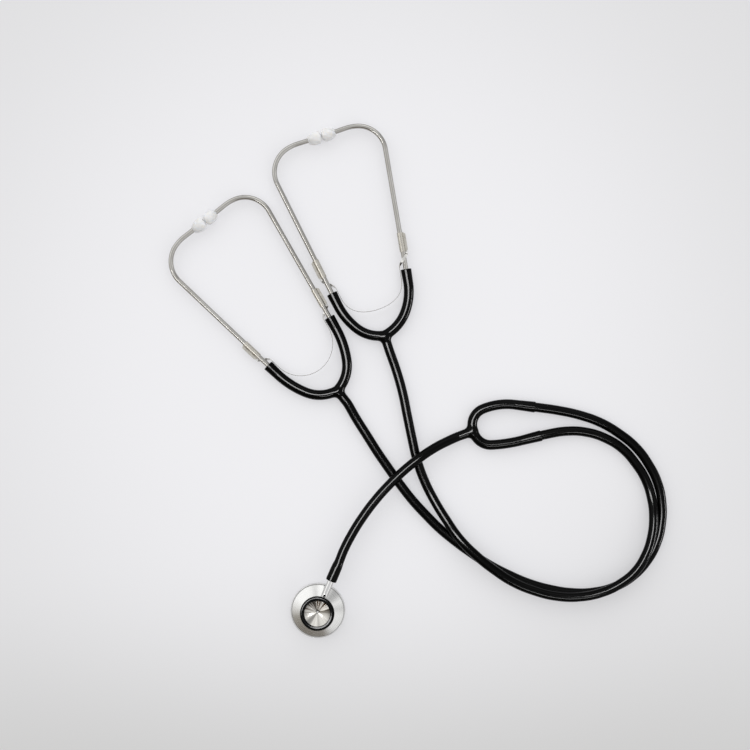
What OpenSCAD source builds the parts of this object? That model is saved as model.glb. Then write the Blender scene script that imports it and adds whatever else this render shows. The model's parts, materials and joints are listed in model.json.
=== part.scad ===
/* [Chestpiece] */
// Outside diameter of the ring that holds the diaphragm
ring_d = 48; // [42:0.5:54]
// Height of the diaphragm ring
ring_h = 5.6; // [4.6:0.2:6.4]
// Wall of the diaphragm ring outside its thread
ring_wall = 1.2; // [0.8:0.1:2]
// Thickness of the ring's inward lip under the diaphragm
ring_lip = 0.9; // [0.6:0.1:1.4]
// Width of the lip, which is how far it hides the diaphragm
lip_w = 2.8; // [2:0.1:4]
// Thickness of the diaphragm
diaphragm_t = 0.4; // [0.2:0.1:0.8]
// Depth of the chamber behind the diaphragm at its middle
chamber_depth = 1.8; // [1:0.1:2.4]
// Radius of the sound holes to the two chambers
sound_hole_r = 1.3; // [0.8:0.1:1.5]
// Height of the top of the conical skirt above the table
skirt_top = 13.4; // [12.8:0.1:14]
// Radius of the neck between the skirt and the bell
neck_r = 8.8; // [8:0.1:10]
// Height of the bell's metal rim above the table
bell_top = 22.2; // [21.6:0.1:24]
// Radius of the bell's metal rim
bell_r = 13.9; // [12.8:0.1:15]
// Inside radius of the bell at its mouth
cup_r = 11.4; // [9:0.1:11.8]
// Depth of the bell's cup
cup_depth = 6.6; // [5:0.1:6.8]
// Thickness of the soft rim above the metal rim
rim_cap = 1.3; // [1:0.1:2]
// Thickness of the soft rim outside the metal rim
rim_side = 1.1; // [0.7:0.1:1.6]
// How far the soft rim reaches down outside the bell
rim_skirt = 2.3; // [1.6:0.1:3]
// Radius on the soft rim's edges
rim_round = 1; // [0.4:0.1:1.1]
/* [Stem] */
// Radius of the metal stem
stem_r = 3; // [2.6:0.05:3.1]
// Radius of the air way in the stem
stem_bore_r = 1.6; // [1:0.1:1.9]
// Distance from the chestpiece's axis to the end of the hose
stem_reach = 29.4; // [27:0.1:34]
// Depth of the stem past the chestpiece's axis
stem_past = 5.8; // [5.6:0.1:6.2]
// Length of the barbed tail inside the hose
tail_l = 14.4; // [12:0.6:18]
// Radius of the barbs on the tail
barb_r = 3.1; // [2.8:0.05:3.2]
// Number of barbs on the tail
barbs = 4; // [2:1:5]
// Radius of the detent ball
ball_r = 1; // [0.8:0.05:1.1]
// How far the ball's centre lies outside the stem's surface
ball_out = 0.35; // [0.25:0.05:0.5]
// Distance of the ball from the chestpiece's axis
ball_back = 4; // [3.6:0.1:4.2]
// Wire diameter of the detent spring
detent_wire = 0.3; // [0.2:0.02:0.3]
// Turns of the detent spring
detent_turns = 3.3; // [2.3:0.5:3.3]
// Length of the screw that closes the detent's hole
screw_l = 1.1; // [0.8:0.1:1.2]
/* [Hoses] */
// Outside radius of the hoses
hose_r = 4.15; // [3.9:0.05:4.2]
// Radius of the air way in the hoses
hose_bore_r = 2.2; // [1.9:0.1:2.5]
// Outside radius of the chest hose where it is stretched over the stem
cuff_r = 4.85; // [4.5:0.05:5.2]
/* [Chest yoke] */
// Radius of the chest yoke's arms
chest_arm_r = 4.35; // [4.2:0.05:4.6]
// Outside radius of the sleeves that hold the two hoses
sleeve_r = 4.85; // [4.7:0.05:5]
// Straight length of each arm at its sleeve
sleeve_l = 18; // [17.5:0.5:20]
// Depth of the socket in each sleeve
socket_depth = 10; // [8:0.5:12]
// Length of the joiner that carries the air from hose to yoke
joiner_l = 16; // [12:0.5:17]
// Outside radius of the joiner
joiner_r = 1.8; // [1.5:0.05:1.85]
// Wall of the joiner
joiner_wall = 0.5; // [0.3:0.05:0.7]
// Radius of the air way in all three yokes
air_r = 1.9; // [1.7:0.05:2]
// Length of each yoke's stub where its hose joins
stub_l = 12; // [10:0.5:14]
/* [Headset] */
// Radius of the headset yoke's arms
arm_r = 4.4; // [4.2:0.05:4.6]
// Radius of each arm's mouth
mouth_r = 4.75; // [4.5:0.05:4.9]
// Straight length of each arm behind its mouth
arm_straight = 11; // [10.6:0.2:13]
// Half the distance between the two mouths
mouth_half = 34.3; // [32:0.1:38]
// Angle of each ear tube to the headset's axis
splay = 8.4; // [6:0.1:10]
// Angle of each arm to the headset's axis at the crotch
fan = 81; // [74:1:88]
// Radius of the crotch where the arms meet
crotch_r = 4.6; // [4.5:0.05:4.65]
// Depth of the first headset's yoke behind its mouths
depth_a = 55; // [50:0.5:58]
// Depth of the second headset's yoke behind its mouths
depth_b = 49.5; // [46:0.5:54]
// Distance along the free arm from the crotch to its hinge
knuckle_reach = 10; // [9:0.2:12]
// Radius of the hinge's knuckle
knuckle_r = 5; // [4.9:0.05:5.3]
/* [Ear tubes] */
// Outside radius of the ear tubes
tube_r = 2.15; // [1.9:0.05:2.3]
// Wall of the ear tubes
tube_wall = 0.5; // [0.3:0.05:0.8]
// Length of ear tube inside the yoke's arm
tube_in = 10.4; // [8:0.2:10.4]
// Straight length of ear tube outside the arm
tube_straight = 107.2; // [95:0.2:120]
// Radius of the first, tight bend
bend1_r = 24.2; // [20:0.2:28]
// Turn of the first bend
bend1_turn = 82.1; // [80:0.1:83]
// Radius of the second, wide bend
bend2_r = 35.2; // [30:0.2:40]
// Turn of the second bend
bend2_turn = 17.1; // [15:0.1:18]
/* [Ear tips] */
// Gap between the two ear tips of a headset at rest
tip_gap = 0.24; // [0.1:0.02:2]
// Length of the ear tips
tip_l = 12.4; // [11:0.1:13.4]
// Largest radius of the ear tips
tip_r = 5.9; // [5:0.05:6.2]
// Radius of the ear tip's collar where the tube enters
tip_collar_r = 3.1; // [2.8:0.05:3.6]
// Length from an ear tip's collar to its widest place
tip_belly = 7.5; // [6:0.1:8.5]
// Depth of the tube inside the ear tip
tip_socket = 7.4; // [6:0.1:8]
// Radius of the hole in the ear tip's nose
tip_hole_r = 1.4; // [1:0.05:1.6]
/* [Leaf spring and clips] */
// Width of the leaf spring
leaf_w = 2.6; // [2:0.1:2.8]
// Thickness of the leaf spring
leaf_t = 0.5; // [0.3:0.05:0.5]
// Depth of the first headset's leaf spring behind the mouths
leaf_depth_a = 31; // [28:0.5:34]
// Depth of the second headset's leaf spring behind the mouths
leaf_depth_b = 26; // [24:0.5:30]
// Length of the clips
clip_l = 17; // [14:0.5:20]
// Sheet thickness of the clips
clip_t = 0.5; // [0.3:0.05:0.6]
// Width of the flag that holds the spring's end
flag_w = 2.9; // [2.9:0.1:3.6]
// Distance from mouth to clip on the first headset
clip_gap_a = 11; // [10.6:0.2:14]
// Distance from mouth to clip on the second headset
clip_gap_b = 15.5; // [14:0.5:18]
/* [Fits] */
// Radial running clearance of turning pieces
run_gap = 0.05; // [0.03:0.01:0.08]
// Clearance between pieces that only lie beside each other
side_gap = 0.4; // [0.3:0.05:0.5]
/* [Hidden] */
$fn = 64;
past = 1; // how far a cut runs past the faces it opens
weld = 0.2; // half length of the bead that joins two steps of a bent rod
apart = 0.6; // where a yoke's arms begin, inside the ball at its crotch
bow_pull = 14; // how far each half of a leaf spring keeps its arm's direction
bow_flat = 14; // how far from the middle the bow lies across
black = [0.06, 0.06, 0.065];
satin = [0.78, 0.78, 0.76];
chrome = [0.72, 0.73, 0.74];
steel = [0.62, 0.61, 0.58];
milky = [0.93, 0.93, 0.91];

// Chestpiece: derived heights and radii, all from its own axis and the table
thread_r = ring_d / 2 - ring_wall;
base_z = ring_lip + diaphragm_t;
stem_z = skirt_top - 1.9;
head_at = [-33, -202.1, 0];
stem_turn = 66.75; // heading of the stem, from +X
groove_r = ball_r + run_gap;
ball_z = stem_z - stem_r - ball_out;
screw_z = base_z + chamber_depth + 0.1;

// Headsets: where the middle between the two mouths lies, the axis's heading, and the yoke's form.
// Each is [x, y, heading, depth, sideways shift of the crotch, side of the free arm (1 is left),
// leaf depth, clip gap, and whether the leaf passes over (1) or under (-1) the left and right tube]
turn_a = 128.1;
turn_b = 108.1;
place_a = [-49.9, 34.8];
inner_step = [2.1, 20.88]; // from the first headset's right mouth to the second's left, beside it
place_b = place_a + mouth_half * (heading(turn_a - 90) + heading(turn_b - 90)) + inner_step;
headsets = [[place_a.x, place_a.y, turn_a, depth_a, 0, 1, leaf_depth_a, clip_gap_a, -1, -1],
    [place_b.x, place_b.y, turn_b, depth_b, 1.8, -1, leaf_depth_b, clip_gap_b, -1, 1]];
yoke_z = mouth_r - 0.05; // height of a headset yoke's crotch
tip_z = tip_r + 0.1; // height of the ear tips' centres

// Chest yoke: crotch, its heading, and the mouth and heading of each arm
chest_z = sleeve_r + 0.05;
chest_crotch = [103.8, -44.1];
chest_turn = 20;
chest_fan = [111.5, -78.3];
chest_mouth = [[158, -23.2], [163.3, -48.2]];
chest_mouth_turn = [-7, 14];

// Hoses: points chosen along each free stretch, from the yoke or stem on
route_chest = [[-10.5, -149, 11.2], [-2.5, -133.5, 10.8], [7, -118.5, 11], [17.5, -104.5, 12],
    [29, -91.5, 13.2], [41.5, -79.5, 13.4], [55, -68, 13.2], [69, -58.5, 10.5], [82, -52, 6.6]];
route_a = [[0.5, -33, 4.2], [10, -48, 4.2], [19.5, -63, 4.2], [29.5, -77.5, 4.2],
    [39.5, -91.5, 4.2], [50.5, -105.5, 4.2], [62.5, -118.5, 4.2], [73.5, -129.5, 4.2],
    [85.5, -139.5, 4.2], [101, -151, 4.2], [117.5, -161.5, 4.2], [135, -170.5, 4.2],
    [153, -178, 4.2], [171.5, -183, 4.2], [190.5, -185.5, 4.2], [210, -185, 4.2],
    [228.5, -180, 4.2], [244.5, -170.5, 4.2], [256.5, -157.5, 4.2], [265, -142, 4.2],
    [269, -125, 4.2], [269.5, -107, 4.2], [266, -89, 4.2], [258, -73, 4.2], [247, -58.5, 4.2],
    [232.5, -46.5, 4.2], [216, -37, 4.2], [198, -30.5, 4.2], [179, -26.5, 4.6]];
route_b = [[36, 9, 4.2], [41.5, -10.5, 4.2], [45.5, -30, 4.2], [49.5, -49.5, 4.2],
    [54, -69, 4.2], [60.5, -87.5, 4.2], [69.5, -105.5, 5.2], [80, -122.5, 8.4],
    [91, -138, 12], [105.5, -153, 13.2], [121, -165, 13.1], [138, -175.5, 12.6],
    [156.5, -183, 12.3], [176, -187.5, 12.2], [196, -188, 12.5], [215.5, -184.5, 13],
    [232, -177, 13.2], [245, -166.5, 13.1], [254, -152.5, 12.2], [259, -137.5, 10.8],
    [261, -120.5, 8.7], [260, -103.5, 5.2], [255, -87.5, 4.2], [246.5, -73.5, 4.2],
    [235, -60.5, 4.2], [220.5, -51.5, 4.2], [204, -46, 4.2], [186, -44.5, 4.4]];

function heading(turn) = [cos(turn), sin(turn)];
function flat(v) = [v.x, v.y];
function unit(v) = v / norm(v);

// A step is [length, turn]: a straight when its turn is 0, otherwise an arc that turns left
function step_end(step) = step[1] == 0 ? [step[0], 0] :
    let (r = step[0] / (step[1] * PI / 180)) [r * sin(step[1]), r * (1 - cos(step[1]))];

// The arc from p, leaving at a heading, that ends at q
function arc_step(p, turn, q) =
    let (w = q - p, ahead = w * heading(turn), aside = w * heading(turn + 90),
        bend = 2 * atan2(aside, ahead))
    [w * w / (2 * aside) * bend * PI / 180, bend];

// Two arcs that join p to q and have the given headings at both
function two_arcs(p, turn_p, q, turn_q) =
    let (u = heading(turn_p), v = heading(turn_q), w = q - p, s = w * (u + v),
        c = 2 * (1 - u * v), d = (-s + sqrt(s * s + c * (w * w))) / c,
        middle = (p + q + d * (u - v)) / 2, first = arc_step(p, turn_p, middle))
    [first, arc_step(middle, turn_p + first[1], q)];

module after(step) {
    translate(concat(step_end(step), 0)) rotate([0, 0, step[1]]) children();
}

module bar(step, r, from = 0, to = 0) {
    if (step[1] == 0)
        translate([from, 0, 0]) rotate([0, 90, 0]) cylinder(h = step[0] - from - to, r = r);
    else if (step[1] > 0) {
        per_mm = step[1] / step[0];
        radius = 180 / PI / per_mm;
        translate([0, radius, 0]) rotate([0, 0, from * per_mm - 90])
            rotate_extrude(angle = (step[0] - from - to) * per_mm) translate([radius, 0]) circle(r = r);
    } else
        mirror([0, 1, 0]) bar([step[0], -step[1]], r, from, to);
}

// Steps end to end, each pair welded by a bead that stands a hair proud of both
module rod(steps, r, from = 0, i = 0) {
    more = i < len(steps) - 1;
    bar(steps[i], r, from, more ? weld / 2 : 0);
    if (more) after(steps[i]) {
        bead(r);
        rod(steps, r, weld / 2, i + 1);
    }
}

module bead(r) {
    translate([-weld, 0, 0]) rotate([0, 90, 0]) cylinder(h = 2 * weld, r = r + 0.04);
}

// A tube through a list of points, as rings of outer radius ro[i] round a bore of radius ri[i]
module hose(points, ro, ri, first, last, sides) {
    n = len(points);
    along = [for (i = [0 : n - 1]) i == 0 ? first : i == n - 1 ? last :
        unit(unit(points[i + 1] - points[i]) + unit(points[i] - points[i - 1]))];
    across = [for (t = along) unit(cross(t, [0, 0, 1]))];
    corners = [for (k = [0 : sides - 1]) (k + 0.5) * 360 / sides - 90];
    skin = function (radii) [for (i = [0 : n - 1], a = corners)
        points[i] + radii[i] * (across[i] * cos(a) + cross(across[i], along[i]) * sin(a))];
    at = function (i, k) i * sides + k % sides;
    inside = n * sides;
    wall = [for (i = [0 : n - 2], k = [0 : sides - 1]) each [
        [at(i, k), at(i + 1, k), at(i + 1, k + 1)], [at(i, k), at(i + 1, k + 1), at(i, k + 1)]]];
    bore = [for (f = wall) [inside + f[0], inside + f[2], inside + f[1]]];
    face = function (i) [for (k = [0 : sides - 1]) each [
        [at(i, k), at(i, k + 1), inside + at(i, k + 1)],
        [at(i, k), inside + at(i, k + 1), inside + at(i, k)]]];
    back = [for (f = face(n - 1)) [f[0], f[2], f[1]]];
    polyhedron(concat(skin(ro), skin(ri)), concat(wall, bore, face(0), back));
}

// A strip or wire through a list of points: each ring's corners are worked out by its caller
module loft(rings) {
    sides = len(rings[0]);
    at = function (i, k) i * sides + k % sides;
    wall = [for (i = [0 : len(rings) - 2], k = [0 : sides - 1]) each [
        [at(i, k), at(i + 1, k), at(i + 1, k + 1)], [at(i, k), at(i + 1, k + 1), at(i, k + 1)]]];
    first = [for (k = [1 : sides - 2]) [0, k, k + 1]];
    end = len(rings) - 1;
    last = [for (k = [1 : sides - 2]) [at(end, 0), at(end, k + 1), at(end, k)]];
    polyhedron([for (ring = rings) each ring], concat(wall, first, last));
}

// Chestpiece, built round its own vertical axis with the stem along +X
module chest_frame() {
    translate(head_at) rotate([0, 0, stem_turn]) children();
}

module head_turning() {
    flare = [for (a = [0 : 10 : 90]) [neck_r + (bell_r - neck_r) * (1 - cos(a)),
        skirt_top + 1 + (bell_top - rim_skirt + 0.7 - skirt_top - 1) * sin(a)]];
    rotate_extrude() polygon(concat([[0, base_z + chamber_depth], [sound_hole_r, base_z + chamber_depth],
        [thread_r - lip_w, base_z], [thread_r, base_z], [thread_r, ring_h + 0.3],
        [neck_r + 1.6, skirt_top - 0.6], [neck_r + 0.5, skirt_top]], flare,
        [[bell_r, bell_top], [cup_r, bell_top], [sound_hole_r, bell_top - cup_depth],
        [0, bell_top - cup_depth]]));
}

module chestpiece_head() {
    color(satin) chest_frame() difference() {
        head_turning();
        translate([-stem_past - side_gap, 0, stem_z]) rotate([0, 90, 0])
            cylinder(h = stem_past + side_gap + ring_d / 2 + past, r = stem_r + run_gap);
        cylinder(h = bell_top, r = sound_hole_r);
        translate([-ball_back, 0, base_z]) cylinder(h = stem_z - base_z, r = groove_r);
    }
}

module bell_rim() {
    out = bell_r + rim_side;
    top = bell_top + rim_cap;
    low = bell_top - rim_skirt;
    corner = function (r, z, a0) [for (a = [a0 : 15 : a0 + 90])
        [r + rim_round * cos(a), z + rim_round * sin(a)]];
    color(black) chest_frame() difference() {
        rotate_extrude() polygon(concat([[cup_r - 0.2, low]],
            corner(out - rim_round, low + rim_round, -90),
            corner(out - rim_round, top - rim_round, 0),
            corner(cup_r - 0.2 + rim_round, top - rim_round, 90)));
        head_turning();
        cylinder(h = bell_top, r = cup_r - 0.1);
    }
}

module diaphragm() {
    color(milky) chest_frame() translate([0, 0, ring_lip]) cylinder(h = diaphragm_t, r = thread_r - 0.3);
}

module diaphragm_ring() {
    out = ring_d / 2;
    soft = 0.5;
    color(chrome) chest_frame() rotate_extrude() polygon([[thread_r - lip_w, 0], [out - soft, 0],
        [out, soft], [out, ring_h - soft], [out - soft, ring_h], [thread_r + run_gap, ring_h],
        [thread_r + run_gap, ring_lip], [thread_r - lip_w, ring_lip]]);
}

module stem() {
    barb_l = tail_l / barbs;
    core_r = barb_r - 0.5;
    tail = stem_reach + 1;
    teeth = [for (i = [0 : barbs - 1]) each
        [[barb_r, tail + i * barb_l], [core_r, tail + (i + 1) * barb_l]]];
    color(chrome) chest_frame() translate([0, 0, stem_z]) difference() {
        rotate([0, 90, 0]) rotate_extrude() polygon(concat(
            [[0, -stem_past], [stem_r, -stem_past], [stem_r, tail]], teeth, [[0, tail + tail_l]]));
        translate([-stem_bore_r, 0, 0]) rotate([0, 90, 0])
            cylinder(h = stem_bore_r + tail + tail_l + past, r = stem_bore_r);
        cylinder(h = stem_r + past, r = sound_hole_r);
        translate([-ball_back, 0, 0]) rotate([0, 90, 0])
            rotate_extrude() translate([stem_r + ball_out, 0]) circle(r = groove_r);
    }
}

module detent_ball() {
    color(steel) chest_frame() translate([-ball_back, 0, ball_z]) sphere(r = ball_r);
}

module detent_spring() {
    low = screw_z + screw_l + detent_wire / 2 + 0.05;
    rise = ball_z - ball_r - low - detent_wire / 2;
    mean_r = ball_r - detent_wire;
    per_turn = 8;
    rings = [for (i = [0 : detent_turns * per_turn]) let (a = i * 360 / per_turn,
        z = low + rise * i / (detent_turns * per_turn)) [for (k = [0 : 5]) let (b = -k * 60)
            [(mean_r + detent_wire / 2 * cos(b)) * cos(a), (mean_r + detent_wire / 2 * cos(b)) * sin(a),
            z + detent_wire / 2 * sin(b)]]];
    color(steel) chest_frame() translate([-ball_back, 0, 0]) loft(rings);
}

module detent_screw() {
    color(steel) chest_frame() translate([-ball_back, 0, screw_z]) difference() {
        cylinder(h = screw_l, r = ball_r);
        translate([0, 0, -past]) cylinder(h = past + screw_l / 2, r = ball_r / 2, $fn = 6);
    }
}

// Hoses: a stretch begins and ends square to what carries it
function chest_point(s) = head_at + concat(s * heading(stem_turn), stem_z);

module chest_hose() {
    tail = stem_reach + 1 + tail_l;
    last = concat(heading(chest_turn), 0);
    points = concat([chest_point(stem_reach), chest_point(tail - 2), chest_point(tail + 3)], route_chest,
        [concat(chest_crotch, chest_z) - stub_l * last]);
    cuff = 3; // rings at the cuff: two wide ones, then the first of the plain hose
    ro = [for (i = [0 : len(points) - 1]) i < cuff - 1 ? cuff_r : hose_r];
    ri = [for (i = [0 : len(points) - 1]) i < cuff - 1 ? barb_r / cos(15) + run_gap : hose_bore_r];
    color(black) hose(points, ro, ri, concat(heading(stem_turn), 0), last, 12);
}

// A hose from a headset's stub, given as a point and a direction, to a socket of the chest yoke
module listener_hose(start, route, side) {
    mouth = concat(chest_mouth[side], chest_z);
    last = -concat(heading(chest_mouth_turn[side]), 0);
    points = concat([start[0]], route, [mouth - 3 * last, mouth + (socket_depth - 0.02) * last]);
    ro = [for (p = points) hose_r];
    ri = [for (p = points) hose_bore_r];
    color(black) hose(points, ro, ri, start[1], last, 10);
}

module hose_a() {
    listener_hose(stub_face(headsets[0]), route_a, 0);
}

module hose_b() {
    listener_hose(stub_face(headsets[1]), route_b, 1);
}

// Chest yoke: its two arms in steps from the crotch
function chest_steps(side) =
    two_arcs(chest_crotch, chest_fan[side],
        chest_mouth[side] - sleeve_l * heading(chest_mouth_turn[side]), chest_mouth_turn[side]);

module chest_arm(side, r, mouth_r, over) {
    steps = chest_steps(side);
    rotate([0, 0, chest_fan[side]]) {
        rod(steps, r, apart);
        after(steps[0]) after(steps[1]) {
            bead(r);
            rotate([0, 90, 0]) cylinder(h = sleeve_l + over, r1 = r, r2 = mouth_r);
        }
    }
}

module chest_mouth_frame(side) {
    translate(concat(chest_mouth[side], chest_z)) rotate([0, 0, chest_mouth_turn[side]]) children();
}

module chest_yoke() {
    color(black) difference() {
        translate(concat(chest_crotch, chest_z)) difference() {
            union() {
                for (side = [0, 1]) chest_arm(side, chest_arm_r, sleeve_r, 0);
                sphere(r = chest_arm_r + 0.3);
                rotate([0, 0, chest_turn + 180]) rotate([0, 90, 0])
                    cylinder(h = stub_l, r1 = chest_arm_r, r2 = hose_r);
            }
            for (side = [0, 1]) chest_arm(side, air_r, air_r, past);
            sphere(r = air_r + 0.3);
            rotate([0, 0, chest_turn + 180]) rotate([0, 90, 0]) cylinder(h = stub_l + past, r = air_r);
        }
        for (side = [0, 1]) chest_mouth_frame(side) translate([-socket_depth, 0, 0]) rotate([0, 90, 0])
            cylinder(h = socket_depth + past, r = hose_r + run_gap);
    }
}

module joiner(side) {
    lip = 1;
    color(steel) chest_mouth_frame(side) translate([-sleeve_l + 0.5, 0, 0]) rotate([0, 90, 0])
    difference() {
        union() {
            cylinder(h = joiner_l, r = joiner_r);
            translate([0, 0, joiner_l - 3 * lip]) cylinder(h = lip, r1 = joiner_r + 0.15, r2 = joiner_r);
            translate([0, 0, joiner_l - lip]) cylinder(h = lip, r1 = joiner_r + 0.15, r2 = joiner_r);
        }
        translate([0, 0, -past]) cylinder(h = joiner_l + 2 * past, r = joiner_r - joiner_wall);
    }
}

module upper_joiner() {
    joiner(0);
}

module lower_joiner() {
    joiner(1);
}

// Headset frame: origin midway between the mouths, +X towards the ear tips, tilted to lie on them
tube_bends = [[bend1_r * bend1_turn * PI / 180, -bend1_turn],
    [bend2_r * bend2_turn * PI / 180, -bend2_turn]];
turn_in = splay - bend1_turn - bend2_turn; // heading of a left ear tube at its tip
tube_side = mouth_half + tube_straight * sin(splay) + bend1_r * (cos(splay - bend1_turn) - cos(splay))
    + bend2_r * (cos(turn_in) - cos(splay - bend1_turn)); // where its bends end, from the axis
tip_lip_r = tip_hole_r + 0.3;
tube_end = (tube_side - tip_gap / 2 - tip_lip_r * abs(cos(turn_in))) / -sin(turn_in)
    - tip_l; // straight to the ear tip, so that a headset's two tips meet
tip_reach = tube_straight * cos(splay) + bend1_r * (sin(splay) - sin(splay - bend1_turn))
    + bend2_r * (sin(splay - bend1_turn) - sin(turn_in));
tilt = asin((tip_z - yoke_z) / (tip_reach + depth_a));

function headset_point(set, p) =
    let (x = p.x * cos(tilt) - p.z * sin(tilt), a = set[2])
    [set[0] + x * cos(a) - p.y * sin(a), set[1] + x * sin(a) + p.y * cos(a),
        yoke_z + (p.x + set[3]) * sin(tilt) + p.z * cos(tilt)];

function stub_face(set) =
    let (face = headset_point(set, [-set[3] - stub_l, set[4], 0]),
        root = headset_point(set, [-set[3], set[4], 0]))
    [face, unit(face - root)];

module headset_frame(set) {
    translate(headset_point(set, [0, 0, 0])) rotate([0, 0, set[2]]) rotate([0, -tilt, 0]) children();
}

// One side's mouth frame: origin at the mouth, +X out along the ear tube, +Y away from the axis
module mouth_frame(set, side) {
    headset_frame(set) mirror_if(side < 0) translate([0, mouth_half, 0]) rotate([0, 0, splay]) children();
}

module mirror_if(flip) {
    if (flip)
        mirror([0, 1, 0]) children();
    else
        children();
}

// An arm's two arcs from the crotch, and the short first part of them up to the hinge's knuckle
function arm_arcs(set, side) =
    two_arcs([-set[3], side * set[4]], fan, [0, mouth_half] - arm_straight * heading(splay), splay);
function knuckle_step(set, side) =
    let (first = arm_arcs(set, side)[0]) [knuckle_reach, first[1] * knuckle_reach / first[0]];
function rest_steps(set, side) =
    let (arcs = arm_arcs(set, side), cut = knuckle_step(set, side))
    [[arcs[0][0] - cut[0], arcs[0][1] - cut[1]], arcs[1]];

// Frame of one side's arm at the crotch, before its first arc
module crotch_frame(set, side) {
    headset_frame(set) mirror_if(side < 0) translate([-set[3], side * set[4], 0]) rotate([0, 0, fan])
        children();
}

module arm_run(steps, r, end_r, from, over) {
    rod(steps, r, from);
    after(steps[0]) after(steps[1]) {
        bead(r);
        rotate([0, 90, 0]) cylinder(h = arm_straight + over, r1 = r, r2 = end_r);
    }
}

module tube_socket(set, side) {
    mouth_frame(set, side) translate([-tube_in - 0.1, 0, 0]) rotate([0, 90, 0])
        cylinder(h = tube_in + past, r = tube_r + run_gap);
}

module stub(set, r1, r2, over) {
    headset_frame(set) translate([-set[3], set[4], 0]) rotate([0, -90, 0])
        cylinder(h = stub_l + over, r1 = r1, r2 = r2);
}

// The moulded yoke: stub, crotch, the arm that stays with them, and the free arm's knuckle
module yoke(set) {
    free = set[5];
    color(black) difference() {
        union() {
            stub(set, arm_r, hose_r, 0);
            headset_frame(set) translate([-set[3], set[4], 0]) sphere(r = crotch_r);
            crotch_frame(set, -free) arm_run(arm_arcs(set, -free), arm_r, mouth_r, apart, 0);
            crotch_frame(set, free) intersection() {
                bar(arm_arcs(set, free)[0], arm_r, apart);
                after(knuckle_step(set, free)) {
                    translate([0, 0, -2 * arm_r]) cylinder(h = 4 * arm_r, r = knuckle_r);
                    translate([-2 * knuckle_reach, -knuckle_reach, -2 * arm_r])
                        cube([2 * knuckle_reach, 2 * knuckle_reach, 4 * arm_r]);
                }
            }
        }
        stub(set, air_r, air_r, past);
        crotch_frame(set, -free) arm_run(arm_arcs(set, -free), air_r, air_r, apart, past);
        crotch_frame(set, free) bar(arm_arcs(set, free)[0], air_r, apart);
        headset_frame(set) translate([-set[3], set[4], 0]) sphere(r = air_r + 0.3);
        tube_socket(set, -free);
    }
}

// The free arm, from its knuckle to its mouth
module free_arm(set) {
    free = set[5];
    color(black) difference() {
        crotch_frame(set, free) after(knuckle_step(set, free)) difference() {
            arm_run(rest_steps(set, free), arm_r, mouth_r, 0, 0);
            translate([0, 0, -2 * arm_r]) cylinder(h = 4 * arm_r, r = knuckle_r + run_gap);
            arm_run(rest_steps(set, free), air_r, air_r, 0, past);
        }
        tube_socket(set, free);
    }
}

module ear_tube(set, side) {
    color(chrome) mouth_frame(set, side) difference() {
        tube_rod(tube_r, 0);
        tube_rod(tube_r - tube_wall, past);
    }
}

// An ear tube's whole run, from inside the arm to inside the ear tip
module tube_rod(r, over) {
    translate([-tube_in - over, 0, 0]) rod([[tube_in + over + tube_straight, 0], tube_bends[0], tube_bends[1],
        [tube_end + tip_socket + over, 0]], r);
}

module tube_tail() {
    after([tube_straight, 0]) after(tube_bends[0]) after(tube_bends[1]) after([tube_end, 0]) children();
}

// The ear tip is a pear that swells from its collar to the belly and closes round the nose
module ear_tip(set, side) {
    swell = [for (a = [0 : 10 : 80])
        [tip_collar_r + (tip_r - tip_collar_r) * pow(sin(a), 0.9), tip_belly * a / 90]];
    nose = [for (a = [0 : 7.5 : 90]) if (tip_r * pow(cos(a), 0.7) > tip_lip_r)
        [tip_r * pow(cos(a), 0.7), tip_belly + (tip_l - tip_belly) * pow(sin(a), 0.7)]];
    color(milky) mouth_frame(set, side) tube_tail() rotate([0, 90, 0]) difference() {
        rotate_extrude() polygon(concat([[0, 0]], swell, nose, [[tip_lip_r, tip_l], [0, tip_l]]));
        translate([0, 0, -past]) cylinder(h = tip_socket + past + 0.2, r = tube_r + run_gap);
        cylinder(h = tip_l + past, r = tip_hole_r);
    }
}

// The clip is a sheet folded round the ear tube, its flag closed over the end of the leaf
module clip(set, side) {
    out = tube_r + run_gap + clip_t;
    edge = out + flag_w;
    slot = leaf_t / 2 + 0.1;
    bevel = 1.4;
    color(steel) mouth_frame(set, side) translate([set[7], 0, 0]) difference() {
        union() {
            rotate([0, 90, 0]) cylinder(h = clip_l, r = out);
            translate([0, 0, -slot - clip_t]) linear_extrude(2 * (slot + clip_t))
                polygon([[0, 0], [clip_l, 0], [clip_l, out], [clip_l - bevel, edge], [bevel, edge],
                    [0, out]]);
        }
        translate([-past, 0, 0]) rotate([0, 90, 0]) cylinder(h = clip_l + 2 * past, r = tube_r + run_gap);
        translate([-past, tube_r - clip_t, -slot]) cube([clip_l + 2 * past, edge - tube_r, 2 * slot]);
    }
}

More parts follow.
